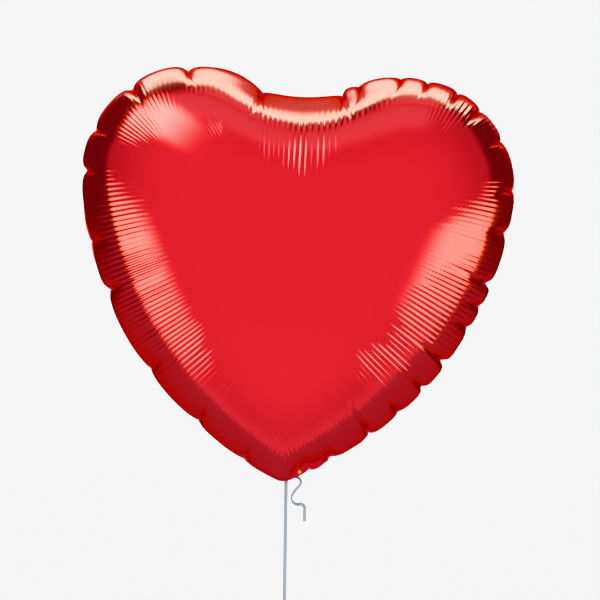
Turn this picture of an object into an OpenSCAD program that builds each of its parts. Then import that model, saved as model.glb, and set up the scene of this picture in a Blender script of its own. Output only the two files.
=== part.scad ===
// Heart-shaped foil balloon, inflated, with its folded inflation tail and tied ribbon.
// Millimetres. +Z up, front of the balloon towards -Y.
// The origin is the middle of the ribbon's tie round the gathered neck.

/* [Heart] */
// Radius of each lobe's round shoulder
lobe_r = 97; // [85:1:105]
// Distance of each lobe's centre from the middle
lobe_x = 90; // [84:1:96]
// Height of the lobe centres above the heart's point
lobe_z = 258; // [240:1:275]
// Radius of the long side from the shoulder to the point
side_r = 300; // [285:1:340]
// Height of the cleft above the heart's point
cleft_z = 332; // [322:1:336]
// Radius that rounds the heart's point
tip_r = 14; // [8:1:20]

/* [Foil] */
// How far each foil panel bulges from the seam
bulge = 88; // [60:1:110]
// Wall of each foil panel
foil_t = 0.8; // [0.6:0.1:1.5]
// Width of the heat-sealed seam
seam_w = 6; // [4:0.5:8]
// Thickness of the heat-sealed seam
seam_t = 1; // [0.6:0.1:1.6]

/* [Neck] */
// Radius of the gathered neck
neck_r = 2.4; // [1.8:0.1:2.6]
// Distance from the seam's middle back to the tie
neck_l = 9; // [8:0.5:12]

/* [Tail] */
// Width of the inflation tail
tail_w = 28; // [22:1:36]
// Length of the tail's flat run
tail_l = 44; // [36:1:60]
// Slope of the tail where it is tucked up behind the balloon
tail_slope = 35; // [20:1:40]
// Radius of the bend at the tail's root
tail_bend_r = 25; // [20:1:35]
// Thickness of each ply of the tail
ply_t = 0.5; // [0.4:0.1:0.8]
// Space between the two plies
ply_gap = 0.6; // [0.4:0.1:1.2]
// Radius of the inflation hole
inlet_r = 4; // [3:0.5:5]

/* [Valve] */
// Width of the self-sealing valve sleeve
valve_w = 24; // [18:1:28]
// Length of the valve sleeve inside the balloon
valve_l = 85; // [60:1:110]
// Thickness of each valve film
valve_t = 0.4; // [0.3:0.1:0.6]

/* [Ribbon] */
// Width of the ribbon
ribbon_w = 3; // [2.4:0.2:5]
// Thickness of the ribbon
ribbon_t = 0.8; // [0.6:0.1:1]
// Length of the taut run from the knot to the end loop's knot
line_l = 106; // [90:1:130]
// Lean of the taut run from straight down
line_lean = 2.2; // [0:0.2:5]
// Radius of the knot at the neck
knot_r = 1.7; // [1.4:0.1:2]
// Radius of the knot that closes the end loop
loop_knot_r = 2.4; // [2:0.1:3]

/* [Hidden] */

foil_red = [0.89, 0.12, 0.18];
seam_red = [0.72, 0.08, 0.13];
film_clear = [0.82, 0.86, 0.90, 0.5];
ribbon_grey = [0.64, 0.68, 0.72];
mark_amber = [1.0, 0.62, 0.18];

running_gap = 0.05;                 // the wrap turns on the neck
joint_gap = 0.5;                    // between the neck and the tail that folds on it
film_gap = 0.1;                     // between the valve's two films

// Heart outline, first in its own plane with the unrounded point at 0, 0
seam_y = -neck_l;                   // plane of the seam
heart_z = -4.2;                     // the point, just below the tie
gap_r = side_r - lobe_r;            // the side's centre lies this far from the lobe's
reach = norm([lobe_x, lobe_z]);
along = (side_r * side_r - gap_r * gap_r + reach * reach) / (2 * reach);
across = sqrt(side_r * side_r - along * along);
side_c = [(lobe_x * along - lobe_z * across) / reach, (lobe_z * along + lobe_x * across) / reach];
tip_z = side_c[1] - sqrt(pow(side_r - tip_r, 2) - pow(side_c[0], 2));
cleft_rise = cleft_z - lobe_z;
cleft_r = (lobe_x * lobe_x + cleft_rise * cleft_rise - lobe_r * lobe_r) / (2 * (lobe_r - cleft_rise));
cleft_c = cleft_z + cleft_r;

a_cleft = atan2(lobe_z - cleft_c, lobe_x);                  // where the cleft meets the lobe
a_lobe = atan2(lobe_z - side_c[1], lobe_x - side_c[0]);     // where the lobe meets the side
a_tip = atan2(tip_z - side_c[1], -side_c[0]);               // where the side meets the tip

cleft_n = 4;                        // points on half of the cleft
lobe_n = 14;
side_n = 15;
tip_n = 2;
dome_n = 12;                        // rings from the seam to the crown
dome_c = [0, 205];                  // the crown's place in the heart

function arc(c, r, a0, a1, n) = [for (i = [0:n - 1]) c + r * [cos(a0 + (a1 - a0) * i / n),
                                                               sin(a0 + (a1 - a0) * i / n)]];

// Right half from the cleft round to the point, drawn in from the outer edge by inset
function half_heart(inset) = concat(
    arc([0, cleft_c], cleft_r + inset, -90, a_cleft, cleft_n),
    arc([lobe_x, lobe_z], lobe_r - inset, 180 + a_cleft, a_lobe, lobe_n),
    arc(side_c, side_r - inset, a_lobe, a_tip, side_n),
    arc([0, tip_z], tip_r - inset, a_tip, -90, tip_n),
    [[0, tip_z - tip_r + inset]]);

// The whole outline, once round
function heart(inset) = let (half = half_heart(inset), last = len(half) - 1)
    concat(half, [for (i = [last - 1:-1:1]) [-half[i][0], half[i][1]]]);

heart_n = len(heart(0));

// One ring of a dome: the outline shrunk towards the crown and lifted off the seam's plane
function dome_ring(inset, lift, turn, side) = [for (p = heart(inset))
    let (q = dome_c + (p - dome_c) * cos(turn)) [q[0], seam_y + side * lift * sin(turn), q[1] + heart_z]];

function dome_skin(inset, lift, side) = concat(
    [for (k = [0:dome_n - 1], p = dome_ring(inset, lift, 90 * k / dome_n, side)) p],
    [[dome_c[0], seam_y + side * lift, dome_c[1] + heart_z]]);

// Faces of one skin whose rings start at index base
function skin_faces(base, flip) = [for (k = [0:dome_n - 1], i = [0:heart_n - 1])
    let (a = base + k * heart_n + i,
         b = base + k * heart_n + (i + 1) % heart_n,
         crown = base + dome_n * heart_n,
         top = k == dome_n - 1,
         face = top ? [a, b, crown] : [a, b, b + heart_n, a + heart_n])
    flip ? face : [for (j = [len(face) - 1:-1:0]) face[j]]];

// A foil dome with a thin wall; side is -1 in front and 1 behind
module foil_dome(side) {
    outer = dome_skin(seam_w, bulge, side);
    inner = dome_skin(seam_w + foil_t, bulge - foil_t, side);
    second = len(outer);
    rim = [for (i = [0:heart_n - 1]) let (j = (i + 1) % heart_n)
        side < 0 ? [i, j, second + j, second + i] : [second + i, second + j, j, i]];
    polyhedron(concat(outer, inner),
               concat(skin_faces(0, side > 0), skin_faces(second, side < 0), rim),
               convexity = 6);
}

// Stands a flat shape up in the seam's plane, y mm behind it and t mm thick
module in_seam_plane(y, t) {
    translate([0, seam_y + y + t, 0]) rotate([90, 0, 0]) linear_extrude(t) children();
}

module front_panel() {
    color(foil_red) foil_dome(-1);
}

module back_panel() {
    color(foil_red) foil_dome(1);
}

module seam_flange() {
    color(seam_red) in_seam_plane(-seam_t / 2, seam_t) translate([0, heart_z]) difference() {
        polygon(heart(0));
        polygon(heart(seam_w));
    }
}

module neck_gather() {
    front = seam_y + seam_t / 2;
    back = tail_root_y - joint_gap;
    color(seam_red) translate([0, back, 0]) rotate([90, 0, 0])
        cylinder(r = neck_r, h = back - front, $fn = 48);
}

// A small printed dot on the seam beside the point, on its front face
mark_r = 1.6;
mark_t = 0.3;
mark_at = [14.3, 5.2];
module inlet_mark() {
    color(mark_amber) in_seam_plane(-seam_t / 2 - mark_t, mark_t)
        translate(mark_at) circle(r = mark_r, $fn = 32);
}

// The valve sleeve runs up inside from the neck, its two films face to face
valve_z = 12;
module valve_film(y) {
    color(film_clear) in_seam_plane(y, valve_t) translate([-valve_w / 2, valve_z])
        square([valve_w, valve_l]);
}

module valve_front_film() {
    valve_film(-valve_t - film_gap / 2);
}

module valve_back_film() {
    valve_film(film_gap / 2);
}

// Tail, in profile: a bend from the neck and then a flat run up behind the balloon
wrap_w = 5;                         // width of the ribbon's turns along the neck
film_past_tie = 2.4;                // gathered film that stands out behind the tie
tail_root_y = wrap_w / 2 + film_past_tie;
bend_n = 8;
function tail_line(off) = concat(
    [for (i = [0:bend_n]) let (a = tail_slope * i / bend_n)
        [tail_root_y + (tail_bend_r + off) * sin(a), tail_bend_r - (tail_bend_r + off) * cos(a)]],
    [[tail_root_y + (tail_bend_r + off) * sin(tail_slope) + tail_l * cos(tail_slope),
      tail_bend_r - (tail_bend_r + off) * cos(tail_slope) + tail_l * sin(tail_slope)]]);

function reversed(v) = [for (i = [len(v) - 1:-1:0]) v[i]];

// One ply between two offsets from the tail's middle surface, fanned out from the neck
fan_l = 22;                         // over this length the tail widens from the neck
module tail_ply(low, high) {
    reach_y = tail_root_y + tail_bend_r + tail_l;
    intersection() {
        rotate([90, 0, 90]) translate([0, 0, -tail_w / 2]) linear_extrude(tail_w)
            polygon(concat(tail_line(low), reversed(tail_line(high))));
        translate([0, 0, -tail_bend_r]) linear_extrude(2 * tail_bend_r + 2 * tail_l)
            polygon([[-neck_r, tail_root_y - 1], [neck_r, tail_root_y - 1],
                     [tail_w / 2, tail_root_y + fan_l], [tail_w / 2, reach_y],
                     [-tail_w / 2, reach_y], [-tail_w / 2, tail_root_y + fan_l]]);
    }
}

module tail_front_ply() {
    color(foil_red) tail_ply(-ply_gap / 2 - ply_t, -ply_gap / 2);
}

// The back ply has the inflation hole, part of the way along its flat run
inlet_along = 20;
inlet_mid = tail_bend_r + (ply_gap + ply_t) / 2;
inlet_y = tail_root_y + inlet_mid * sin(tail_slope) + inlet_along * cos(tail_slope);
inlet_z = tail_bend_r - inlet_mid * cos(tail_slope) + inlet_along * sin(tail_slope);
module tail_back_ply() {
    color(foil_red) difference() {
        tail_ply(ply_gap / 2, ply_gap / 2 + ply_t);
        translate([0, inlet_y, inlet_z]) rotate([tail_slope, 0, 0])
            cylinder(r = inlet_r, h = 2 * ply_t, center = true, $fn = 48);
    }
}

// Ribbon turns round the neck: two raised turns on a thin first layer
wrap_r = neck_r + running_gap;
wrap_out = wrap_r + ribbon_t;
turn_w = wrap_w / 2;
turn_gap = 0.5;
module ribbon_wrap() {
    color(ribbon_grey) rotate([90, 0, 0]) rotate_extrude($fn = 48) {
        translate([wrap_r, -turn_w]) square([ribbon_t / 2, wrap_w]);
        for (z = [-turn_w + turn_gap / 2, turn_gap / 2])
            translate([wrap_r, z]) square([ribbon_t, turn_w - turn_gap]);
    }
}

// The knot sits on the wrap's right side, a little below its middle
knot_turn = -15;
knot_sink = 0.4 * knot_r;           // how far it presses into the wrap's circle
knot_at = (wrap_out + knot_r - knot_sink) * [cos(knot_turn), 0, sin(knot_turn)];
module ribbon_knot() {
    color(ribbon_grey) difference() {
        translate(knot_at) sphere(r = knot_r, $fn = 32);
        rotate([90, 0, 0]) cylinder(r = wrap_out, h = 4 * knot_r, center = true, $fn = 48);
    }
}

// A flat ribbon swept along points: across gives its width direction at every ring
function unit(v) = v / norm(v);
function ring_at(p, t, across, w, h) = let (u = unit(across - (across * t) * t), n = cross(t, u))
    [for (i = [0:7]) p + u * w / 2 * cos(45 * i) + n * h / 2 * sin(45 * i)];
function heading(pts, i) = unit(pts[min(i + 1, len(pts) - 1)] - pts[max(i - 1, 0)]);

// Points between the route's own, on a smooth curve through them
function between(p, q, r, s, t) = 0.5 * ((2 * q) + (r - p) * t + (2 * p - 5 * q + 4 * r - s) * t * t
                                         + (3 * q - p - 3 * r + s) * t * t * t);
function smooth(pts, n) = let (last = len(pts) - 1) concat(
    [for (i = [0:last - 1], j = [0:n - 1])
        between(pts[max(i - 1, 0)], pts[i], pts[i + 1], pts[min(i + 2, last)], j / n)],
    [pts[last]]);

module ribbon_along(pts, across) {
    n = len(pts);
    points = [for (i = [0:n - 1]) each ring_at(pts[i], heading(pts, i), across, ribbon_w, ribbon_t)];
    sides = [for (i = [0:n - 2], k = [0:7]) [8 * i + k, 8 * i + (k + 1) % 8,
                                             8 * (i + 1) + (k + 1) % 8, 8 * (i + 1) + k]];
    polyhedron(points, concat([[for (k = [7:-1:0]) k]], sides, [[for (k = [0:7]) 8 * (n - 1) + k]]),
               convexity = 8);
}

// Route of the short loose end: out of the knot to the right, then two lazy curls
curl_route = [[6.2, 0, -1.2], [9.5, 1.5, 0], [13.4, 1, -0.4], [15.8, 0.5, -3.2], [15.2, 0, -6.4],
              [11.4, -1, -11.4], [9, -1.5, -15.4], [8.5, -1, -18.6], [10, -0.5, -21.6],
              [13.2, 0, -23.4], [17.6, 0.5, -23.2], [20.2, 0, -25.6], [20.4, -0.5, -31],
              [20.8, 0, -37.8]];
module ribbon_curl() {
    color(ribbon_grey) ribbon_along(smooth(curl_route, 3), [0, 1, 0]);
}

// The taut run hangs from the underside of the knot and leans a little
line_top = [3, 0, -3.2];
line_way = [sin(line_lean), 0, -cos(line_lean)];
module ribbon_line() {
    color(ribbon_grey) ribbon_along([for (i = [0:12]) line_top + line_way * line_l * i / 12], [1, 0, 0]);
}

loop_knot_at = line_top + line_way * (line_l + loop_knot_r);
module loop_knot() {
    color(ribbon_grey) difference() {
        translate(loop_knot_at) sphere(r = loop_knot_r, $fn = 32);
        translate(line_top) rotate([0, 180 - line_lean, 0]) cylinder(r = ribbon_w, h = line_l, $fn = 48);
    }
}

// Route of the end loop, from its knot round and back, right of the middle and mirrored
loop_side = [[0.8, 0, -3.4], [3, 0, -9], [8, 0, -16], [12.5, 0, -24], [13.5, 0, -32],
             [9.5, 0, -39.5], [0, 0, -42.5]];
loop_route = concat(loop_side, [for (i = [len(loop_side) - 2:-1:0]) [-loop_side[i][0], 0, loop_side[i][2]]]);
module end_loop() {
    color(ribbon_grey) translate(loop_knot_at) ribbon_along(smooth(loop_route, 3), [0, 1, 0]);
}

front_panel();
back_panel();
seam_flange();
neck_gather();
inlet_mark();
valve_front_film();
valve_back_film();
tail_front_ply();
tail_back_ply();
ribbon_wrap();
ribbon_knot();
ribbon_curl();
ribbon_line();
loop_knot();
end_loop();
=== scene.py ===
"""Looks of the heart-shaped foil balloon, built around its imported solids."""

import logging
import math
from dataclasses import dataclass
from enum import Enum
from typing import Sequence

import bmesh
import bpy
import numpy as np
from mathutils import Matrix, Vector


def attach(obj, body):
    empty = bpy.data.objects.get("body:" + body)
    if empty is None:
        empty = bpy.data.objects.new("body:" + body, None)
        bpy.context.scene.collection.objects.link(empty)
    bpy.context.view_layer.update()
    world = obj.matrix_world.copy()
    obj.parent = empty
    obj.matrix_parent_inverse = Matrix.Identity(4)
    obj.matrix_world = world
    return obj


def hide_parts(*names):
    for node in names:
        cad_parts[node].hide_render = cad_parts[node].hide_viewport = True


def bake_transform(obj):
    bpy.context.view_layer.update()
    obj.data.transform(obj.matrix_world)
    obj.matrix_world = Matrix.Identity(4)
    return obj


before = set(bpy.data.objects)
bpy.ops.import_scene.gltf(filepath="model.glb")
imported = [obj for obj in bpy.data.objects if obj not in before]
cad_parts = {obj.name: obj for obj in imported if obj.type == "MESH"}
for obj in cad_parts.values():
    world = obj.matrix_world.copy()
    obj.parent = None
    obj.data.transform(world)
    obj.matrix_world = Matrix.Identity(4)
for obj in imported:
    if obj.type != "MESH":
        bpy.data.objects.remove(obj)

logging.basicConfig(level=logging.INFO, format="%(name)s: %(message)s")
LOG = logging.getLogger("balloon")

MM = 0.001
Colour = tuple[float, float, float, float]
Triple = tuple[float, float, float]
Socket = bpy.types.NodeSocket
Piece = bpy.types.Object
Material = bpy.types.Material
Array = np.ndarray


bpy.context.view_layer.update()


class Body(Enum):
    """The rigid bodies that pieces ride on."""

    BALLOON = "balloon"
    TAIL = "tail"
    TIE = "tie"
    CURL = "curl"
    RIBBON = "ribbon"
    LOOP = "loop"


class Slot(Enum):
    """The record's material slots."""

    FOIL = "foil_red"
    SEAM = "seam_red"
    MARK = "mark_amber"
    RIBBON = "ribbon"


def smooth_step(low: float, high: float, value: Array) -> Array:
    """Goes smoothly from 0 at low to 1 at high, or back from 1 where low is the larger."""
    t = np.clip((value - low) / (high - low), 0.0, 1.0)
    return t * t * (3.0 - 2.0 * t)


def unit(vectors: Array) -> Array:
    """The vectors of an array's last axis, each scaled to a length of 1."""
    return vectors / np.linalg.norm(vectors, axis=-1, keepdims=True)


# ---- the heart ----


@dataclass(frozen=True)
class HeartShape:
    """The heart's outline, made of arcs, in the plane of its seam."""

    lobe_r: float = 97 * MM
    lobe_x: float = 90 * MM
    lobe_z: float = 258 * MM
    side_r: float = 300 * MM
    cleft_z: float = 332 * MM
    tip_r: float = 14 * MM
    seam_w: float = 6 * MM
    bulge: float = 88 * MM
    base_z: float = -4.2 * MM
    seam_y: float = -9 * MM

    def outline(self, inset: float, count: int) -> Array:
        """Evenly spaced points once round the heart, from the cleft clockwise.

        Args:
            inset: how far inside the outer edge the line runs.
            count: how many points it has.

        Returns:
            An array of x and z, one row a point.
        """
        gap = self.side_r - self.lobe_r
        reach = math.hypot(self.lobe_x, self.lobe_z)
        along = (self.side_r**2 - gap**2 + reach**2) / (2 * reach)
        across = math.sqrt(self.side_r**2 - along**2)
        side_x = (self.lobe_x * along - self.lobe_z * across) / reach
        side_z = (self.lobe_z * along + self.lobe_x * across) / reach
        tip_z = side_z - math.sqrt((self.side_r - self.tip_r) ** 2 - side_x**2)
        rise = self.cleft_z - self.lobe_z
        cleft_r = (self.lobe_x**2 + rise**2 - self.lobe_r**2) / (2 * (self.lobe_r - rise))
        cleft_c = self.cleft_z + cleft_r
        a_cleft = math.atan2(self.lobe_z - cleft_c, self.lobe_x)
        a_lobe = math.atan2(self.lobe_z - side_z, self.lobe_x - side_x)
        a_tip = math.atan2(tip_z - side_z, -side_x)
        half = np.vstack([
            arc(0, cleft_c, cleft_r + inset, -math.pi / 2, a_cleft, 60),
            arc(self.lobe_x, self.lobe_z, self.lobe_r - inset, math.pi + a_cleft, a_lobe, 200),
            arc(side_x, side_z, self.side_r - inset, a_lobe, a_tip, 240),
            arc(0, tip_z, self.tip_r - inset, a_tip, -math.pi / 2, 30),
            [[0, tip_z - self.tip_r + inset]],
        ])
        loop = np.vstack([half, (half[::-1] * [-1, 1])[1:]])
        run = np.r_[0, np.cumsum(np.linalg.norm(np.diff(loop, axis=0), axis=1))]
        at = np.linspace(0, run[-1], count, endpoint=False)
        points = np.stack([np.interp(at, run, loop[:, 0]), np.interp(at, run, loop[:, 1])], 1)
        return points + [0.0, self.base_z]


def arc(cx: float, cz: float, r: float, a0: float, a1: float, count: int) -> Array:
    """Points along one arc, without its last one."""
    turn = np.linspace(a0, a1, count, endpoint=False)
    return np.stack([cx + r * np.cos(turn), cz + r * np.sin(turn)], 1)


class FilledHeart:
    """How far gas lifts the panels off the seam's plane, like a soap film over the heart.

    The film's height over the plane is a sum of smooth harmonic waves that is zero on the seam.
    Its square root stands steeply on the seam, as a filled panel does.
    """

    def __init__(self, shape: HeartShape, waves: int = 28) -> None:
        """Fits the waves to the seam.

        Args:
            shape: the heart.
            waves: how many waves are summed.
        """
        self.shape = shape
        self.middle_z = 200 * MM
        self.scale = 180 * MM
        rim = shape.outline(shape.seam_w, 1536)
        place = self.complex_place(rim)
        basis = np.stack([(place**k).real for k in range(waves)], 1)
        self.weights = np.linalg.lstsq(basis, np.abs(place) ** 2 / 4, rcond=1e-12)[0]
        line = np.linspace(60 * MM, 320 * MM, 500)
        film = self.film(np.stack([0 * line, line], 1))
        self.peak = float(film.max())
        self.crown = np.array([0.0, line[int(film.argmax())]])

    def complex_place(self, points: Array) -> Array:
        """Points of the seam's plane as complex numbers, upwards real."""
        return ((points[..., 1] - self.middle_z) + 1j * points[..., 0]) / self.scale

    def film(self, points: Array) -> Array:
        """The film's height at points of the seam's plane."""
        place = self.complex_place(points)
        height = -np.abs(place) ** 2 / 4
        for k, weight in enumerate(self.weights):
            height = height + weight * (place**k).real
        return height

    def rings(self, rim: Array, turns: Array) -> tuple[Array, Array]:
        """Rings of points over the heart.

        Args:
            rim: the seam's points.
            turns: each ring's turn angle, 0 at the seam and a quarter turn at the crown.

        Returns:
            The rings' points in the seam's plane, and their lift off it.
        """
        share = np.cos(turns)[:, None]
        flat = self.crown + (rim[None] - self.crown) * share[..., None]
        film = self.film(flat) - self.film(rim)[None] * share**20
        lift = self.shape.bulge * np.sqrt(np.maximum(film, 0.0) / self.peak)
        lift[0] = 0.0
        return flat, lift


# ---- the foil ----


@dataclass(frozen=True)
class Pinch:
    """One place where the seam is drawn in and a crease runs up the panel."""

    share: float
    inward: float
    reach: float
    depth: float


def pinches() -> tuple[Pinch, ...]:
    """The pinches clockwise from the cleft, in shares of the seam's length and millimetres."""
    rows = (
        (0.032, 4.6, 34, 2.8), (0.046, 2.4, 9, 1.0), (0.078, 2.5, 10, 1.0), (0.098, 4.0, 15, 1.4),
        (0.122, 4.6, 18, 1.5), (0.143, 3.6, 24, 1.7), (0.170, 3.0, 13, 1.3), (0.208, 3.6, 12, 1.3),
        (0.240, 4.0, 13, 1.3), (0.281, 5.6, 38, 2.4), (0.299, 1.8, 9, 0.8), (0.317, 2.4, 9, 0.9),
        (0.349, 5.4, 46, 2.6), (0.374, 3.0, 11, 1.1), (0.400, 2.6, 10, 0.9), (0.427, 4.8, 54, 2.6),
        (0.462, 2.4, 9, 0.8), (0.480, 4.0, 12, 0.9), (0.532, 2.2, 10, 0.8), (0.577, 3.8, 15, 1.3),
        (0.630, 3.8, 13, 1.2), (0.698, 5.4, 25, 1.8), (0.737, 3.0, 10, 0.9), (0.791, 3.6, 12, 1.2),
        (0.822, 4.0, 16, 1.3), (0.863, 4.4, 21, 1.6), (0.908, 4.4, 20, 1.5), (0.968, 4.8, 36, 3.0),
    )
    return tuple(Pinch(share, inward * MM, reach * MM, depth * MM) for share, inward, reach, depth in rows)


@dataclass
class FoilEnvelope:
    """Both foil panels and the seam between them, filled, pinched and puckered.

    Each zone of puckers has its share of the way round the seam, its strength, how far in it
    reaches in millimetres, and how much of it is left beside the seam. The pillow is the rim's
    swell between two pinches, widest at pillow_turn degrees. The fan spreads the puckers out
    below the cleft.
    """

    filled: FilledHeart
    pinches: tuple[Pinch, ...]
    columns: int = 1536
    outer_rings: int = 47
    inner_rings: int = 7
    pucker_pitch: float = 4.6 * MM
    pucker_depth: float = 0.15 * MM
    pillow: float = 5.2 * MM
    pillow_turn: float = 5.5
    pinch_pull: float = 0.70
    scallop: float = 0.6 * MM
    pinch_fade: float = 6.5 * MM
    fan_width: float = 72 * MM
    fan_reach: float = 96.6 * MM
    foil_half: float = 0.12 * MM
    seed: int = 7
    zones: tuple[tuple[float, float, float, float], ...] = (
        (0.00, 1.6, 72, 0.3), (0.03, 1.3, 64, 0.3), (0.06, 0.7, 48, 0.1), (0.10, 0.6, 40, 0.2),
        (0.12, 1.2, 46, 1.0), (0.17, 1.0, 44, 1.0), (0.22, 1.1, 52, 0.3), (0.28, 1.6, 62, 0.2),
        (0.33, 1.5, 56, 0.4), (0.38, 1.7, 62, 0.3), (0.43, 2.0, 66, 0.3), (0.50, 1.3, 40, 0.3),
        (0.57, 1.2, 50, 0.6), (0.64, 1.7, 60, 0.6), (0.70, 1.9, 64, 0.2), (0.77, 1.7, 60, 0.1),
        (0.81, 0.6, 44, 0.1), (0.86, 1.4, 52, 0.2), (0.90, 0.8, 46, 0.2), (0.95, 1.1, 62, 0.1),
        (1.00, 1.6, 72, 0.3),
    )

    def __post_init__(self) -> None:
        """Measures the seam."""
        shape = self.filled.shape
        self.rim = shape.outline(shape.seam_w, self.columns)
        self.tangent = unit(np.roll(self.rim, -1, 0) - np.roll(self.rim, 1, 0))
        self.normal = np.stack([-self.tangent[:, 1], self.tangent[:, 0]], 1)
        steps = np.linalg.norm(np.roll(self.rim, -1, 0) - self.rim, axis=1)
        self.length = float(steps.sum())
        self.run = np.r_[0, np.cumsum(steps)[:-1]]
        shoulder = np.radians(60)
        outer = shoulder * (np.arange(self.outer_rings) / (self.outer_rings - 1)) ** 1.3
        inner = np.linspace(shoulder, np.pi / 2, self.inner_rings + 1)[1:]
        self.turns = np.r_[outer, inner]

    def arch(self) -> Array:
        """How far each place of the seam is from its pinches, 0 at one and 1 between two."""
        marks = np.array([p.share for p in self.pinches]) * self.length
        marks = np.r_[marks[-1] - self.length, marks, marks[0] + self.length]
        after = np.searchsorted(marks, self.run, side="right")
        way = (self.run - marks[after - 1]) / (marks[after] - marks[after - 1])
        return (1 - np.abs(2 * way - 1) ** 3.2) ** 0.55

    def drawn_in(self) -> Array:
        """How far the seam is drawn in at each place."""
        marks = np.array([p.share for p in self.pinches])
        depth = np.array([p.inward for p in self.pinches])
        share = self.run / self.length
        near = np.interp(share, np.r_[marks[-1] - 1, marks, marks[0] + 1],
                         np.r_[depth[-1], depth, depth[0]])
        return self.pinch_pull * near * (1 - self.arch()) - self.scallop * self.arch()

    def foot(self, flat: Array) -> tuple[Array, Array]:
        """The nearest place on the seam for each point, and the distance to it.

        Args:
            flat: points of the seam's plane, as rings by columns by x and z.

        Returns:
            Places along the seam, which may run past its ends, and distances in from it.
        """
        hop, blur = 3, 20
        bend = ((np.roll(self.tangent, -hop, 0) - np.roll(self.tangent, hop, 0)) * -self.normal).sum(1)
        bend /= 2 * hop * self.length / self.columns
        even = np.ones(2 * blur + 1) / (2 * blur + 1)
        bend = np.convolve(np.r_[bend[-blur:], bend, bend[:blur]], even, "valid")
        foot = np.tile(self.run, (len(flat), 1))
        for _ in range(5):
            at = foot % self.length
            place, along = (np.stack([self.between(row, at) for row in rows.T], 2)
                            for rows in (self.rim, self.tangent))
            out = np.stack([-along[..., 1], along[..., 0]], 2)
            across = -((flat - place) * out).sum(2)
            stretch = np.maximum(1 - self.between(bend, at) * across, 0.45)
            foot = foot + 0.8 * ((flat - place) * along).sum(2) / stretch
        return foot, np.maximum(across, 0.0)

    def between(self, values: Array, at: Array) -> Array:
        """Values given round the seam, read at places along it."""
        return np.interp(at, np.r_[self.run, self.length], np.r_[values, values[0]])

    def seam_line(self) -> Array:
        """The seam's inner edge where the two panels part, as x, y and z."""
        line = self.rim - self.normal * self.drawn_in()[:, None]
        return np.stack([line[:, 0], np.full(self.columns, self.filled.shape.seam_y), line[:, 1]], 1)

    def noise(self, rng: np.random.Generator, grain: float) -> Array:
        """Smooth random values round the seam, from about -1 to 1.

        Args:
            rng: the source of random numbers.
            grain: the distance over which they change.

        Returns:
            One value for each column.
        """
        count = max(4, round(self.length / grain))
        knots = rng.normal(0, 0.5, count)
        knots = np.r_[knots[-1], knots, knots[:3]]
        at = self.run / self.length * count + 1
        i = np.floor(at).astype(int)
        t = at - i
        return np.clip(spline(knots[i - 1], knots[i], knots[i + 1], knots[i + 2], t), -1.2, 1.2)

    def panel(self, side: int) -> Array:
        """Rings of one panel, from the seam to the crown.

        Args:
            side: -1 for the front panel and 1 for the back.

        Returns:
            An array of rings, points and x, y, z.
        """
        shape = self.filled.shape
        rng = np.random.default_rng(self.seed + side)
        flat, lift = self.filled.rings(self.rim, self.turns)
        foot, across = self.foot(flat)
        arch = self.arch()
        fade = np.exp(-((across / self.pinch_fade) ** 1.4))
        swell = self.pillow * arch**0.55 * (1 + 0.25 * self.noise(rng, 60 * MM))
        past_tip = self.length / 2 - self.run
        if side < 0:
            swell *= 1 - smooth_step(3 * MM, 11 * MM, past_tip) * smooth_step(54 * MM, 38 * MM, past_tip)
        else:
            swell *= smooth_step(20 * MM, 42 * MM, np.abs(past_tip))
        turn = np.degrees(self.turns)[:, None]
        rise = turn / self.pillow_turn
        peak = rise * np.exp(1 - rise) * np.exp(-((turn / 20) ** 2))
        shift = swell[None] * peak - self.drawn_in()[None] * fade
        flat = flat + self.normal[None] * shift[..., None]
        y = shape.seam_y + side * lift
        grid = np.stack([flat[..., 0], y, flat[..., 1]], 2)
        up = surface_normal(grid, self.filled.crown, shape.seam_y)
        relief = self.creases(foot, across) + self.puckers(rng, foot, across)
        relief *= 1 - np.exp(-turn / 1.5)
        grid = grid + up * relief[..., None]
        grid[0] = self.seam_line()
        return grid

    def creases(self, foot: Array, across: Array) -> Array:
        """The sharp folds that run up the panel from each pinch.

        Args:
            foot: each point's nearest place along the seam.
            across: each point's distance in from the seam.

        Returns:
            Relief along the surface's normal.
        """
        relief = np.zeros_like(foot)
        for pinch in self.pinches:
            away = (foot - pinch.share * self.length + self.length / 2) % self.length - self.length / 2
            fade = np.clip(1 - across / pinch.reach, 0, 1) ** 1.2
            width = (1.5 + 1.2 * fade) * MM
            fold = np.exp(-np.abs(away) / width) - 0.45 * np.exp(-((away / (3.4 * width)) ** 2))
            relief -= pinch.depth * fade * fold
        return relief

    def puckers(self, rng: np.random.Generator, foot: Array, across: Array) -> Array:
        """The fine, close ridges that take up the panel's slack.

        Args:
            rng: the source of random numbers.
            foot: each point's nearest place along the seam.
            across: each point's distance in from the seam.

        Returns:
            Relief along the surface's normal.
        """
        count = round(self.length / self.pucker_pitch)
        drift = self.noise(rng, 90 * MM) * 0.8 + self.noise(rng, 22 * MM) * 0.12
        from_cleft = (foot + self.length / 2) % self.length - self.length / 2
        fan = from_cleft * np.exp(-((from_cleft / self.fan_width) ** 4)) * across / self.fan_reach
        phase = (foot + fan) / self.length * count + drift[None]
        ridge = np.arange(-8, count + 8)
        height = np.interp(phase, ridge, rng.uniform(0.45, 1.25, len(ridge)))
        share, strong, far, near = np.array(self.zones).T
        place = (foot / self.length) % 1.0
        spread = np.interp(phase, ridge, rng.uniform(-10, 8, len(ridge)))
        start = (np.interp(place, share, far) + spread) * MM
        zone = np.interp(place, share, strong) * (1 + 0.25 * self.noise(rng, 40 * MM)[None])
        inner = 1 - smooth_step(0, 1, (across - start + 16 * MM) / (16 * MM))
        edge = np.interp(place, share, near)
        outer = edge + (1 - edge) * smooth_step(5 * MM, 18 * MM, across)
        wave = np.cos(2 * np.pi * phase) - 0.22 * np.cos(4 * np.pi * phase)
        return self.pucker_depth * height * zone * inner * outer * wave

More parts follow.
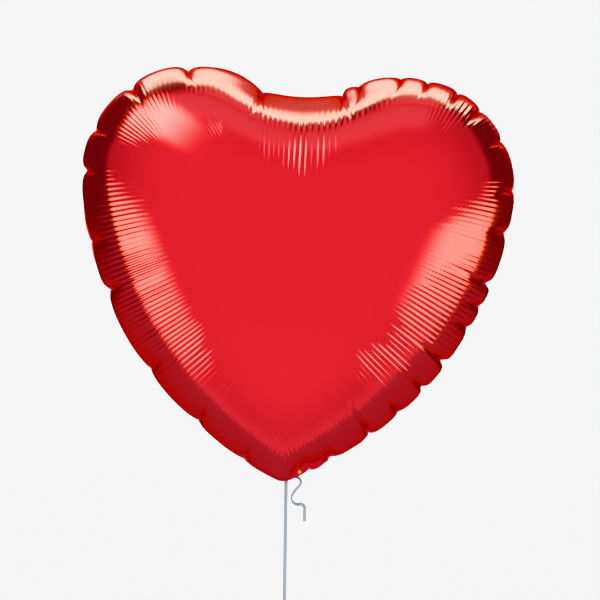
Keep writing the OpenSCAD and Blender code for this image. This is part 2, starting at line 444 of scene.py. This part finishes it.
    def seam(self) -> Array:
        """The sealed edge outside the panels, crumpled where it is drawn in.

        Returns:
            Rows of points from the seam's front out to the edge and back in behind it.
        """
        rng = np.random.default_rng(self.seed + 20)
        inner = self.seam_line()
        share = np.clip(0.78 + 0.28 * self.noise(rng, 34 * MM), 0.55, 1.0)
        tip = smooth_step(45 * MM, 25 * MM, np.abs(self.run - self.length / 2))
        width = self.filled.shape.seam_w * (share + (1 - share) * tip)
        wave = 1.5 * MM * self.noise(rng, 6 * MM) + 1.2 * MM * self.noise(rng, 17 * MM)
        wave *= 1 - 0.85 * tip
        rows = []
        for part in (0.0, 0.33, 0.66, 1.0):
            out = self.normal * (width * part)[:, None]
            rows.append(inner + np.stack([out[:, 0], wave * part**1.3, out[:, 1]], 1))
        front = [row - [0, self.foil_half, 0] for row in rows]
        back = [row + [0, self.foil_half, 0] for row in rows[::-1]]
        return np.stack(front + back)


def spline(p: Array, q: Array, r: Array, s: Array, t: Array) -> Array:
    """A smooth curve from q to r that leans on its neighbours p and s."""
    return 0.5 * (2 * q + (r - p) * t + (2 * p - 5 * q + 4 * r - s) * t**2 + (3 * q - p - 3 * r + s) * t**3)


def surface_normal(grid: Array, crown: Array, seam_y: float) -> Array:
    """Unit normals of a closed grid that point away from the balloon's middle."""
    around = np.roll(grid, -2, 1) - np.roll(grid, 2, 1)
    up = np.cross(around, np.gradient(grid, axis=0))
    up /= np.maximum(np.linalg.norm(up, axis=2, keepdims=True), 1e-12)
    middle = np.array([crown[0], seam_y, crown[1]])
    sign = np.sign(((grid - middle) * up)[3:20].sum())
    return up * sign


# ---- mesh helpers ----


def grid_object(name: str, rows: Array, close: bool = True, cap: bool = False) -> Piece:
    """A mesh from a grid of points.

    Args:
        name: the object's name.
        rows: points, as rows by columns by x, y, z.
        close: whether the last column joins the first.
        cap: whether the first and last rows are closed with a face.

    Returns:
        The new object, linked to the scene.
    """
    if close:
        rows = np.concatenate([rows, rows[:, :1]], 1)
    count, columns = rows.shape[:2]
    bm = bmesh.new()
    bmesh.ops.create_grid(bm, x_segments=columns - 1, y_segments=count - 1, size=1.0)
    order = np.array([v.co[:2] for v in bm.verts])
    column = np.rint((order[:, 0] + 1) / 2 * (columns - 1)).astype(int)
    row = np.rint((order[:, 1] + 1) / 2 * (count - 1)).astype(int)
    for v, r, c in zip(bm.verts, row, column):
        v.co = rows[r, c]
    bmesh.ops.remove_doubles(bm, verts=bm.verts, dist=2e-7)
    if cap:
        bmesh.ops.holes_fill(bm, edges=[e for e in bm.edges if e.is_boundary], sides=0)
    bmesh.ops.recalc_face_normals(bm, faces=bm.faces)
    return mesh_object(name, bm)


def mesh_object(name: str, bm: bmesh.types.BMesh) -> Piece:
    """Turns a bmesh into a smooth-shaded object of the scene."""
    mesh = bpy.data.meshes.new(name)
    bm.to_mesh(mesh)
    bm.free()
    mesh.shade_smooth()
    piece = bpy.data.objects.new(name, mesh)
    bpy.context.scene.collection.objects.link(piece)
    return piece


def face_away(piece: Piece, from_point: Vector) -> None:
    """Turns an open shell's faces to point away from a point."""
    bm = bmesh.new()
    bm.from_mesh(piece.data)
    outward = sum(f.normal.dot(f.calc_center_median() - from_point) for f in bm.faces)
    if outward < 0:
        bmesh.ops.reverse_faces(bm, faces=bm.faces)
    bm.to_mesh(piece.data)
    bm.free()


def smooth_route(points: Sequence[Sequence[float]], steps: int) -> Array:
    """A smooth line through points, with the same number of steps between each two."""
    p = np.array(points, float)
    p = np.vstack([2 * p[0] - p[1], p, 2 * p[-1] - p[-2]])
    out = []
    for i in range(1, len(p) - 2):
        for t in np.arange(steps) / steps:
            out.append(spline(p[i - 1], p[i], p[i + 1], p[i + 2], t))
    out.append(p[-2])
    return np.array(out)


# ---- the ribbon ----


@dataclass(frozen=True)
class RibbonStock:
    """The flat ribbon that the balloon is tied with."""

    width: float = 3.0 * MM
    thickness: float = 0.18 * MM

    def sweep(self, name: str, line: Array, across: Array, widths: Array) -> Piece:
        """Runs the ribbon along a line.

        Args:
            name: the object's name.
            line: points of its middle.
            across: unit vectors across the ribbon, one a point.
            widths: the ribbon's width at each point.

        Returns:
            A closed mesh, 12 points round.
        """
        along = unit(np.gradient(line, axis=0))
        across = unit(across - along * (across * along).sum(1)[:, None])
        up = np.cross(along, across)
        profile = ((-0.5, 0.2), (-0.47, 0.5), (-0.2, 0.42), (0.2, 0.42), (0.47, 0.5), (0.5, 0.2))
        profile = profile + tuple((-a, -b) for a, b in profile)
        rows = [line + across * (a * widths)[:, None] + up * (b * self.thickness) for a, b in profile]
        return grid_object(name, np.stack(rows, 1), cap=True)


@dataclass
class BalloonRibbon:
    """The ribbon's turns, knot, curl, taut run and end loop."""

    stock: RibbonStock
    finish: Material
    knot_at: Triple = (4.124 * MM, 0.0, -1.105 * MM)
    line_top: Triple = (3 * MM, 0.0, -3.2 * MM)
    line_drop: float = 107.4 * MM
    line_lean: float = math.radians(2.2)
    loop_knot_at: Triple = (7.161 * MM, 0.0, -111.52 * MM)
    turns: int = 3
    turn_r: float = 2.58 * MM
    turn_step: float = 0.17 * MM
    turn_width: float = 2.8 * MM

    def build(self) -> None:
        """Builds every piece of the ribbon and hangs each on its body."""
        self.wrap()
        self.knot("tied_knot", self.knot_at, 0.50 * MM, Body.TIE, "ribbon_knot")
        self.curl()
        self.line()
        self.loop()

    def wrap(self) -> None:
        """The turns round the neck, each a little wider than the last."""
        turn = np.linspace(0, self.turns * 2 * math.pi, 145)
        r = self.turn_r + self.turn_step * turn / (2 * math.pi)
        y = (-1.0 + 2.0 * turn / turn[-1]) * MM
        line = np.stack([r * np.cos(turn), y, r * np.sin(turn)], 1)
        across = np.tile([0.0, 1.0, 0.0], (len(line), 1))
        piece = self.stock.sweep("neck_turns", line, across, np.full(len(line), self.turn_width))
        add_piece(piece, Body.TIE, Slot.RIBBON, self.finish, "ribbon_wrap")

    def knot(self, name: str, place: Sequence[float], size: float, body: Body, node: str) -> Piece:
        """A small pulled-tight knot of the ribbon.

        Args:
            name: the object's name.
            place: its middle.
            size: a quarter of its width.
            body: what it rides on.
            node: the CAD node it stands for.

        Returns:
            The knot.
        """
        t = np.linspace(0, 2 * math.pi, 97)
        x, y, z = np.sin(t) + 2 * np.sin(2 * t), -1.1 * np.sin(3 * t), np.cos(t) - 2 * np.cos(2 * t)
        line = np.stack([x, y, z], 1) * size + np.array(place)
        across = np.stack([0.35 * np.cos(t), np.ones_like(t), 0.35 * np.sin(t)], 1)
        piece = self.stock.sweep(name, line, across, np.full(len(t), 3.6 * size))
        add_piece(piece, body, Slot.RIBBON, self.finish, node)
        return piece

    def curl(self) -> None:
        """The short end, curled over a blade, which hangs loose beside the point."""
        route = (
            (6.2, 0, -1.2), (9.5, 1.5, 0), (13.4, 1, -0.4), (15.8, 0.5, -3.2), (15.2, 0, -6.4),
            (11.4, -1, -11.4), (9, -1.5, -15.4), (8.5, -1, -18.6), (10, -0.5, -21.6),
            (13.2, 0, -23.4), (17.6, 0.5, -23.2), (20.2, 0, -25.6), (20.4, -0.5, -31), (20.8, 0, -37.8),
        )
        line = smooth_route(np.array(route) * MM, 8)
        share = np.linspace(0, 1, len(line))
        turn = np.radians(np.interp(share, (0, 0.22, 0.4, 0.55, 0.66, 0.76, 0.84, 1),
                                    (30, 40, 60, 22, 40, 72, 55, 78)))
        along = unit(np.gradient(line, axis=0))
        deep = np.array([0.0, 1.0, 0.0])
        across = deep * np.cos(turn)[:, None] + np.cross(along, deep) * np.sin(turn)[:, None]
        piece = self.stock.sweep("curled_end", line, across, np.full(len(line), self.stock.width))
        add_piece(piece, Body.CURL, Slot.RIBBON, self.finish, "ribbon_curl")

    def line(self) -> None:
        """The taut run from the tie to the loop's knot."""
        down = np.array([math.sin(self.line_lean), 0.0, -math.cos(self.line_lean)])
        share = np.linspace(0, 1, 54)
        line = np.array(self.line_top) + down * (share * self.line_drop)[:, None]
        across = np.tile([1.0, 0.10, 0.0], (len(line), 1))
        widths = self.stock.width * np.interp(share, (0, 0.04, 0.97, 1), (1.0, 1.0, 1.0, 0.75))
        piece = self.stock.sweep("taut_ribbon", line, across, widths)
        add_piece(piece, Body.RIBBON, Slot.RIBBON, self.finish, "ribbon_line")
        knot = self.knot("loop_tie", self.loop_knot_at, 0.72 * MM, Body.RIBBON, "loop_knot")

    def loop(self) -> None:
        """The loop at the ribbon's end, for a finger or a weight."""
        side = ((0.6, 0, -1.8), (3, 0, -9), (8, 0, -16), (12.5, 0, -24), (13.5, 0, -32), (9.5, 0, -39.5))
        back = tuple((-x, y, z) for x, y, z in side[::-1])
        route = np.array(side + ((0, 0, -42.5),) + back) * MM + np.array(self.loop_knot_at)
        line = smooth_route(route, 8)
        across = np.tile([0.0, 1.0, 0.0], (len(line), 1))
        piece = self.stock.sweep("ribbon_loop", line, across, np.full(len(line), self.stock.width))
        add_piece(piece, Body.LOOP, Slot.RIBBON, self.finish, "end_loop")


# ---- neck and tail ----


@dataclass
class NeckAndTail:
    """The gathered film below the heart's point and the filling tail behind it."""

    finish: Material
    neck_r: float = 2.35 * MM
    neck_start: float = -8.7 * MM
    neck_end: float = 4.6 * MM
    root_y: float = 4.3 * MM
    bend_r: float = 25 * MM
    slope: float = math.radians(35)
    flat_run: float = 44 * MM
    width: float = 28 * MM
    fan: float = 22 * MM
    hole_r: float = 4 * MM
    hole_at: Triple = (0.0, 35.938 * MM, 15.542 * MM)
    root_half: float = 2.1 * MM
    film: float = 0.06 * MM

    def build(self) -> None:
        self.neck()
        for side, name, node in ((1, "tail_front", "tail_front_ply"), (-1, "tail_back", "tail_back_ply")):
            piece = self.ply(name, side)
            piece.data.materials.append(self.finish)
            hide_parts(node)
            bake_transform(piece)
            LOG.info("%s bends from the neck", name)

    def neck(self) -> None:
        """The film drawn together into a tight bundle of pleats."""
        turn = np.linspace(0, 2 * math.pi, 168, endpoint=False)
        rows = []
        for y in np.linspace(self.neck_start, self.neck_end, 34):
            flare = math.exp(-((y - self.neck_start) / (2.2 * MM)) ** 2)
            end = math.exp(-((y - self.neck_end) / (1.6 * MM)) ** 2)
            r = self.neck_r * (0.93 + 0.45 * flare + 0.12 * end)
            pleat = 1 + (0.10 + 0.10 * flare) * np.cos(9 * turn + 0.6) + 0.05 * np.cos(4 * turn + 1.9)
            x, z = r * pleat * np.cos(turn), 0.9 * r * pleat * np.sin(turn)
            rows.append(np.stack([x, np.full(len(turn), y), z], 1))
        piece = grid_object("neck_pleats", np.stack(rows), cap=True)
        add_piece(piece, Body.BALLOON, Slot.FOIL, self.finish, "neck_gather")

    def centre(self, run: Array) -> tuple[Array, Array]:
        """The tail's middle line and its upward normal at distances from its root."""
        bend = self.bend_r * self.slope
        turn = np.clip(run / self.bend_r, 0, self.slope)
        beyond = np.maximum(run - bend, 0)
        y = self.root_y + self.bend_r * np.sin(turn) + beyond * math.cos(self.slope)
        z = self.bend_r * (1 - np.cos(turn)) + beyond * math.sin(self.slope)
        point = np.stack([0 * y, y, z], 1)
        return point, np.stack([0 * y, -np.sin(turn), np.cos(turn)], 1)

    def ply(self, name: str, side: int) -> Piece:
        """One ply of the tail, fanned out from its gather.

        Args:
            name: the object's name.
            side: 1 for the ply that faces the heart and -1 for the other.

        Returns:
            The ply, with the filling hole cut in the far one.
        """
        run = np.linspace(0, self.bend_r * self.slope + self.flat_run, 120)
        middle, up = self.centre(run)
        share = np.linspace(-1, 1, 61)
        open_ = smooth_step(0, self.fan, run)
        half = (self.root_half + (self.width / 2 - self.root_half) * open_)[:, None]
        pleat = 0.85 * MM * np.exp(-run / (9 * MM))[:, None] * np.sin(7 * math.pi * share + 0.7 * side)[None]
        ripple = 0.35 * MM * np.sin(run / (7.5 * MM))[:, None] * np.cos(1.5 * math.pi * share)[None]
        gap = 0.30 * MM * (1 - np.abs(share) ** 6)[None] * open_[:, None] + self.film
        height = pleat + ripple * open_[:, None] + side * gap
        grid = middle[:, None] + up[:, None] * height[..., None]
        grid[..., 0] += half * share[None]
        piece = grid_object(name, grid, close=False)
        bm = bmesh.new()
        bm.from_mesh(piece.data)
        if side < 0:
            self.cut_hole(bm)
        bmesh.ops.solidify(bm, geom=bm.faces[:], thickness=self.film)
        bmesh.ops.recalc_face_normals(bm, faces=bm.faces)
        bm.to_mesh(piece.data)
        bm.free()
        piece.data.shade_smooth()
        return piece

    def cut_hole(self, bm: bmesh.types.BMesh) -> None:
        """Cuts the filling hole and rounds its edge.

        Args:
            bm: the ply, before it is given its thickness.
        """
        centre = Vector(self.hole_at)
        lean = Vector((0, math.cos(self.slope), math.sin(self.slope)))

        def place(v: bmesh.types.BMVert) -> Vector:
            """A vertex's place in the tail's plane, measured from the hole."""
            return Vector((v.co.x, (v.co - centre).dot(lean)))

        gone = [f for f in bm.faces if all(place(v).length < self.hole_r for v in f.verts)]
        bmesh.ops.delete(bm, geom=gone, context="FACES")
        edge = {v for e in bm.edges if e.is_boundary for v in e.verts if place(v).length < 1.6 * self.hole_r}
        for v in edge:
            at = place(v)
            grow = at * (self.hole_r / at.length - 1)
            v.co += Vector((grow.x, 0, 0)) + lean * grow.y


# ---- finishes ----


class NodeLayout:
    """Lays out the nodes of one tree."""

    def __init__(self, tree: bpy.types.NodeTree) -> None:
        """Keeps the tree."""
        self.tree = tree

    def node(self, kind: str, values: dict[object, object] | None = None,
             **settings: object) -> bpy.types.bpy_prop_collection:
        """Makes one node.

        Args:
            kind: the node's type.
            values: its inputs, by name or place; numbers are set and sockets are linked.
            settings: its own properties, set before its inputs.

        Returns:
            The node's outputs.
        """
        node = self.tree.nodes.new(kind)
        for title, setting in settings.items():
            setattr(node, title, setting)
        for key, value in (values or {}).items():
            if isinstance(value, Socket):
                self.tree.links.new(value, node.inputs[key])
            else:
                node.inputs[key].default_value = value
        return node.outputs


def dent_group() -> bpy.types.NodeTree:
    """The small dents that handling leaves in metallised film, for any material.

    Returns:
        The node group, with the grain going in and the height coming out.
    """
    group = bpy.data.node_groups.new("film_dents", "ShaderNodeTree")
    grain = group.interface.new_socket("Grain", in_out="INPUT", socket_type="NodeSocketFloat")
    grain.default_value = 60.0
    group.interface.new_socket("Height", in_out="OUTPUT", socket_type="NodeSocketFloat")
    make = NodeLayout(group).node
    start = make("NodeGroupInput")
    place = make("ShaderNodeTexCoord")["Object"]
    wide = make("ShaderNodeTexNoise", {"Vector": place, "Scale": start["Grain"], "Detail": 2.0})
    finer = make("ShaderNodeMath", {0: start["Grain"], 1: 2.6}, operation="MULTIPLY")
    cells = make("ShaderNodeTexVoronoi", {"Vector": place, "Scale": finer[0]}, feature="SMOOTH_F1")
    both = make("ShaderNodeMath", {0: cells["Distance"], 1: 0.35, 2: wide["Fac"]}, operation="MULTIPLY_ADD")
    make("NodeGroupOutput", {"Height": both[0]})
    return group


def add_dents(material: Material, grain: float, depth: float) -> None:
    """Roughens a material with the shared dents.

    Args:
        material: the material.
        grain: how close the dents are.
        depth: how deep they are, in metres.
    """
    tree = material.node_tree
    make = NodeLayout(tree).node
    group = bpy.data.node_groups.get("film_dents") or dent_group()
    dents = make("ShaderNodeGroup", {"Grain": grain}, node_tree=group)
    bump = make("ShaderNodeBump", {"Strength": 1.0, "Distance": depth, "Height": dents["Height"]})
    tree.links.new(bump["Normal"], tree.nodes["Principled BSDF"].inputs["Normal"])


def surface(name: str, values: dict[str, object]) -> Material:
    """A new material whose shader has these values.

    Args:
        name: the material's name.
        values: the shader's inputs, by name.

    Returns:
        The material.
    """
    material = bpy.data.materials.new(name)
    material.use_nodes = True
    shader = material.node_tree.nodes["Principled BSDF"]
    for title, value in values.items():
        shader.inputs[title].default_value = value
    return material


@dataclass(frozen=True)
class FoilFinish:
    """Metallised film with a dyed, glossy face."""

    name: str
    colour: Colour
    edge: Colour
    roughness: float = 0.12
    dent_grain: float = 55.0
    dent_depth: float = 0.0

    def build(self) -> Material:
        """Makes the material."""
        material = surface(self.name, {
            "Base Color": self.colour, "Metallic": 1.0, "Roughness": self.roughness,
            "Specular Tint": self.edge,
        })
        if self.dent_depth:
            add_dents(material, self.dent_grain, self.dent_depth)
        return material


@dataclass(frozen=True)
class PlainFinish:
    """A plain plastic: ribbon, film, a printed dot or the floor."""

    name: str
    colour: Colour
    roughness: float = 0.4
    alpha: float = 1.0
    shine: float = 0.5
    glow: float = 0.0
    glow_colour: Colour | None = None

    def build(self) -> Material:
        """Makes the material."""
        return surface(self.name, {
            "Base Color": self.colour, "Roughness": self.roughness, "Alpha": self.alpha,
            "Specular IOR Level": self.shine, "Emission Color": self.glow_colour or self.colour,
            "Emission Strength": self.glow,
        })


# ---- stage ----


@dataclass(frozen=True)
class Panel:
    """A bright panel of the studio that the foil mirrors, given as a direction and its spread.

    Spreads are slopes from the panel's middle; across is to the right as seen from the balloon.
    """

    name: str
    heading: float
    rise: float
    across: tuple[float, float]
    soft_across: tuple[float, float]
    upward: tuple[float, float]
    soft_upward: tuple[float, float]
    radiance: Triple

    def axes(self) -> tuple[Vector, Vector, Vector]:
        """The panel's direction and its two spread directions."""
        a, e = math.radians(self.heading), math.radians(self.rise)
        middle = Vector((math.sin(a) * math.cos(e), -math.cos(a) * math.cos(e), math.sin(e)))
        right = Vector((math.cos(a), math.sin(a), 0.0))
        return middle, right, right.cross(middle) * -1


class WorldNodes(NodeLayout):
    """Lays out the world's nodes, which work on the direction that is looked in."""

    def __init__(self, tree: bpy.types.NodeTree) -> None:
        """Starts from an empty tree."""
        super().__init__(tree)
        tree.nodes.clear()
        self.direction = self.node("ShaderNodeTexCoord")["Generated"]

    def math(self, operation: str, a: object, b: object) -> Socket:
        """Works out one sum of two numbers or sockets."""
        return self.node("ShaderNodeMath", {0: a, 1: b}, operation=operation)[0]

    def dot(self, axis: Vector) -> Socket:
        """The direction's share along an axis."""
        values = {0: self.direction, 1: axis}
        return self.node("ShaderNodeVectorMath", values, operation="DOT_PRODUCT")["Value"]

    def step(self, value: Socket, low: float, high: float) -> Socket:
        """Goes smoothly from 0 at low to 1 at high, or falls where low is the larger."""
        start, end = (0.0, 1.0) if low < high else (1.0, 0.0)
        values = {"Value": value, "From Min": min(low, high), "From Max": max(low, high),
                  "To Min": start, "To Max": end}
        return self.node("ShaderNodeMapRange", values, interpolation_type="SMOOTHSTEP")[0]

    def panel(self, panel: Panel) -> Socket:
        """A panel's radiance, with its red softer at the edges than its green and blue.

        Args:
            panel: the panel.

        Returns:
            The radiance that it adds in each direction.
        """
        middle, right, up = panel.axes()
        ahead = self.dot(middle)
        safe = self.math("MAXIMUM", ahead, 0.05)
        mask = self.step(ahead, 0.05, 0.15)
        for axis, (low, high), (soft_low, soft_high) in (
                (right, panel.across, panel.soft_across), (up, panel.upward, panel.soft_upward)):
            slope = self.math("DIVIDE", self.dot(axis), safe)
            mask = self.math("MULTIPLY", mask, self.step(slope, low - soft_low, low + soft_low))
            mask = self.math("MULTIPLY", mask, self.step(slope, high + soft_high, high - soft_high))
        red, green, blue = panel.radiance
        core = self.math("MULTIPLY", mask, mask)
        return self.add(self.tint(mask, (red, 0.0, 0.0)), self.tint(core, (0.0, green, blue)))

    def background(self, colour: object) -> Socket:
        """Light of one colour, or of the colour that a socket gives."""
        return self.node("ShaderNodeBackground", {"Color": colour})[0]

    def choose(self, when: Socket, no: Socket, yes: Socket) -> Socket:
        """One light or the other, by the kind of ray."""
        return self.node("ShaderNodeMixShader", {0: when, 1: no, 2: yes})[0]

    def tint(self, value: Socket, colour: Sequence[float]) -> Socket:
        """A value times a colour."""
        return self.node("ShaderNodeVectorMath", {0: colour, "Scale": value}, operation="SCALE")[0]

    def add(self, a: Socket, b: Socket) -> Socket:
        """The sum of two colours."""
        return self.node("ShaderNodeVectorMath", {0: a, 1: b}, operation="ADD")[0]


@dataclass(frozen=True)
class Studio:
    """Camera, room and lights.

    The room's levels are the radiance that the foil mirrors in front, at the camera's end, on the
    back wall, under the balloon, straight below it, and everywhere.
    """

    distance: float = 2.9
    frame_width: float = 517.2 * MM
    sensor: float = 36.0
    roll: float = math.radians(3.0)
    aim: Triple = (6.9 * MM, -9 * MM, 153.2 * MM)
    floor_z: float = -1.3
    pale: float = 1.298
    room_tint: Triple = (1.0, 0.85, 1.35)
    floor_tint: Triple = (1.12, 1.80, 2.70)
    lamp: Triple = (3.0, 8.4, 4.6)
    top_lamp: Triple = (3.6, 38.0, 34.0)
    right_share: float = 0.95
    high_share: float = 2.0
    front_level: float = 0.46
    middle_level: float = 0.36
    wall_level: float = 0.48
    under_level: float = 0.30
    below_level: float = 0.07
    base_level: float = 0.20
    soft_colour: Colour = (0.62, 0.64, 0.68, 1.0)
    floor_half: float = 25.0
    key_size: float = 1.2
    key_power: float = 9.0
    key_at: Triple = (-1.2, -1.8, 1.2)
    key_aim: Triple = (0.0, 0.0, 0.1)

    def build(self) -> None:
        """Sets up the whole stage."""
        self.camera()
        self.room()
        self.floor()
        self.key()

    def camera(self) -> None:
        """Sets the camera at the heart's front."""
        data = bpy.data.cameras.new("camera")
        data.sensor_width = self.sensor
        data.lens = self.sensor * self.distance / self.frame_width
        data.clip_end = 50.0
        holder = bpy.data.objects.new("camera", data)
        bpy.context.scene.collection.objects.link(holder)
        up = Vector((-math.sin(self.roll), 0.0, math.cos(self.roll)))
        back = Vector((0.0, -1.0, 0.0))
        right = up.cross(back).normalized()
        turn = Matrix((right, up, back)).transposed().to_4x4()
        holder.matrix_world = Matrix.Translation(Vector(self.aim) + back * self.distance) @ turn
        bpy.context.scene.camera = holder

    def panels(self) -> tuple[Panel, ...]:
        """The soft boxes round the balloon.

        Returns:
            The panels. Each row has the fields of Panel in their order.
        """
        left, top = self.lamp, self.top_lamp
        right = tuple(v * self.right_share for v in left)
        high = tuple(v * self.high_share for v in left)
        rows = (
            ("left_box", -71, -15, (-0.32, 0.28), (0.03, 0.16), (-0.30, 0.235), (0.20, 0.08), left),
            ("right_box", 70, -10, (-0.34, 0.60), (0.20, 0.04), (-0.22, 0.215), (0.05, 0.04), right),
            ("high_left", -58, 50, (-0.38, 0.26), (0.06, 0.25), (-0.20, 0.20), (0.07, 0.10), high),
            ("overhead", 180, 62, (-0.70, 0.70), (0.06, 0.06), (0.02, 0.30), (0.07, 0.03), top),
            ("far_wall", 180, 62, (-0.9, 0.9), (0.1, 0.1), (-0.50, -0.02), (0.12, 0.06), (0.15, 2.8, 3.6)),
            ("ceiling", 0, 75, (-0.45, 0.45), (0.15, 0.15), (-0.26, 0.20), (0.12, 0.06), (0.30, 0.8, 1.1)),
            ("top_gap", 0, 86, (-0.15, 0.60), (0.12, 0.20), (0.03, 0.25), (0.05, 0.04), (0.66, 1.3, 1.6)),
        )
        return tuple(Panel(*row) for row in rows)

    def room(self) -> None:
        """Makes the pale room: what the foil mirrors, and a plain backdrop for the eye."""
        scene = bpy.context.scene
        world = bpy.data.worlds.new("studio")
        scene.world = world
        world.cycles.sampling_method = "NONE"
        world.use_nodes = True
        nodes = WorldNodes(world.node_tree)
        forward = nodes.dot(Vector((0, -1, 0)))
        upward = nodes.dot(Vector((0, 0, 1)))
        front = nodes.math("MULTIPLY", nodes.step(forward, -0.06, 0.06), self.front_level)
        middle = nodes.math("MULTIPLY", nodes.step(forward, 0.06, 0.88), self.middle_level)
        behind = nodes.math("MULTIPLY", nodes.step(upward, 0.22, 0.42), nodes.step(forward, -0.3, -0.6))
        wall = nodes.math("MULTIPLY", behind, self.wall_level)
        lower = nodes.math("MULTIPLY", nodes.step(upward, -0.1, -0.5), nodes.step(forward, 0.4, -0.1))
        under = nodes.math("MULTIPLY", lower, self.under_level)
        lowest = nodes.math("MULTIPLY", nodes.step(upward, -0.3, -0.8), nodes.step(forward, -0.1, 0.15))
        low = nodes.math("ADD", under, nodes.math("MULTIPLY", lowest, self.below_level))
        level = nodes.math("ADD", nodes.math("ADD", front, middle), nodes.math("ADD", wall, self.base_level))
        total = nodes.add(nodes.tint(level, self.room_tint), nodes.tint(low, self.floor_tint))
        for panel in self.panels():
            total = nodes.add(total, nodes.panel(panel))
            LOG.info("%s is lit", panel.name)
        mirrored = nodes.background(total)
        seen = nodes.background((self.pale, self.pale, self.pale, 1.0))
        soft = nodes.background(self.soft_colour)
        ray = nodes.node("ShaderNodeLightPath")
        light = nodes.choose(ray["Is Diffuse Ray"], mirrored, soft)
        light = nodes.choose(ray["Is Camera Ray"], light, seen)
        nodes.node("ShaderNodeOutputWorld", {"Surface": light})
        scene.view_settings.view_transform = "Khronos PBR Neutral"

    def floor(self) -> None:
        """Lays a plain pale floor well below the balloon."""
        bm = bmesh.new()
        bmesh.ops.create_grid(bm, x_segments=1, y_segments=1, size=self.floor_half,
                              matrix=Matrix.Translation((0, 0, self.floor_z)))
        floor = mesh_object("floor", bm)
        finish = PlainFinish("floor_pale", (0.9, 0.9, 0.9, 1.0), roughness=1.0, shine=0.0, glow=1.0,
                             glow_colour=(0.73, 0.708, 0.677, 1.0))
        floor.data.materials.append(finish.build())
        floor.visible_glossy = False

    def key(self) -> None:
        """Hangs one soft lamp for the pieces that aren't foil."""
        light = bpy.data.lights.new("key", "AREA")
        light.shape = "RECTANGLE"
        light.size, light.size_y = self.key_size, self.key_size
        light.energy = self.key_power
        holder = bpy.data.objects.new("key", light)
        bpy.context.scene.collection.objects.link(holder)
        place = Vector(self.key_at)
        turn = (Vector(self.key_aim) - place).to_track_quat("-Z", "Y").to_matrix().to_4x4()
        holder.matrix_world = Matrix.Translation(place) @ turn
        holder.visible_glossy = False


def add_piece(piece: Piece, body: Body, slot: Slot, material: Material,
              *nodes: str) -> None:
    """Dresses a piece and sets what it rides on and replaces.

    Args:
        piece: the piece, in place.
        body: the body that carries it.
        slot: the record's material slot; not used.
        material: its finish.
        nodes: the CAD nodes it stands for.
    """
    piece.data.materials.clear()
    piece.data.materials.append(material)
    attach(piece, body.value)
    if nodes:
        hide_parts(*nodes)
    LOG.info("%s rides on %s, %d faces", piece.name, body.value, len(piece.data.polygons))


class Balloon:
    """The whole balloon."""

    # the flat film's width over the seam line's
    CUT_SCALE: float = 1.2
    DOT_AT: Triple = (14.3 * MM, -9.8 * MM, 5.2 * MM)
    DOT_R: float = 1.6 * MM
    DOT_THICK: float = 0.3 * MM

    def __init__(self) -> None:
        """Mixes the finishes."""
        red, edge = (0.80, 0.052, 0.042, 1.0), (0.9, 0.30, 0.30, 1.0)
        # painted shade: the seam is the same red foil as the panels, given a darker base colour so that its
        # edge mirrors less of the bright room
        seam_red_painted_darker = (0.50, 0.030, 0.026, 1.0)
        self.foil = FoilFinish("foil_red", red, edge).build()
        self.seam = FoilFinish("seam_red", seam_red_painted_darker, edge, roughness=0.2, dent_depth=0.12 * MM).build()
        self.ribbon = PlainFinish("ribbon_grey", (0.41, 0.475, 0.52, 1.0), roughness=0.5, shine=0.0).build()
        self.valve = PlainFinish("valve_clear", (0.85, 0.87, 0.9, 1.0), roughness=0.15, alpha=0.35).build()
        # the amber is the dot's printed colour; its glow of 0.2 is painted light, a faint shine that no lamp
        # gives
        self.amber = PlainFinish("mark_amber", (1.0, 0.42, 0.06, 1.0), roughness=0.3, glow=0.2).build()
        self.filled = FilledHeart(HeartShape())
        self.envelope = FoilEnvelope(self.filled, pinches())

    def build(self) -> None:
        """Builds and dresses every piece."""
        BalloonRibbon(RibbonStock(), self.ribbon).build()
        self.skins()
        NeckAndTail(self.foil).build()
        self.mark()
        self.valves()

    def skins(self) -> None:
        """Both foil panels and their seam."""
        shape = self.filled.shape
        inside = Vector((0.0, shape.seam_y, self.filled.crown[1]))
        for side, name, node in ((-1, "front_foil", "front_panel"), (1, "back_foil", "back_panel")):
            piece = grid_object(name, self.envelope.panel(side))
            face_away(piece, inside)
            add_piece(piece, Body.BALLOON, Slot.FOIL, self.foil, node)
        seam = grid_object("seam_edge", self.envelope.seam())
        add_piece(seam, Body.BALLOON, Slot.SEAM, self.seam, "seam_flange")

    def mark(self) -> None:
        """The small amber printed dot beside the heart's point, with a faint painted glow."""
        bm = bmesh.new()
        turn = Matrix.Translation(self.DOT_AT) @ Matrix.Rotation(math.pi / 2, 4, "X")
        bmesh.ops.create_cone(bm, cap_ends=True, segments=48, radius1=self.DOT_R, radius2=self.DOT_R,
                              depth=self.DOT_THICK, matrix=turn)
        rim = [e for e in bm.edges if e.calc_face_angle(0.0) > 1.0]
        bmesh.ops.bevel(bm, geom=rim, offset=0.1 * MM, segments=3, profile=0.5, affect="EDGES", material=-1)
        add_piece(mesh_object("amber_dot", bm), Body.BALLOON, Slot.MARK, self.amber, "inlet_mark")

    def valves(self) -> None:
        """Dresses the two clear films of the valve inside the heart."""
        for name in ("valve_front_film", "valve_back_film"):
            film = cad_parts[name]
            film.data.materials.clear()
            film.data.materials.append(self.valve)
            LOG.info("%s is dressed", name)


def main() -> None:
    """Builds the studio and every piece of the balloon."""
    Studio().build()
    Balloon().build()


if __name__ == "__main__":
    main()
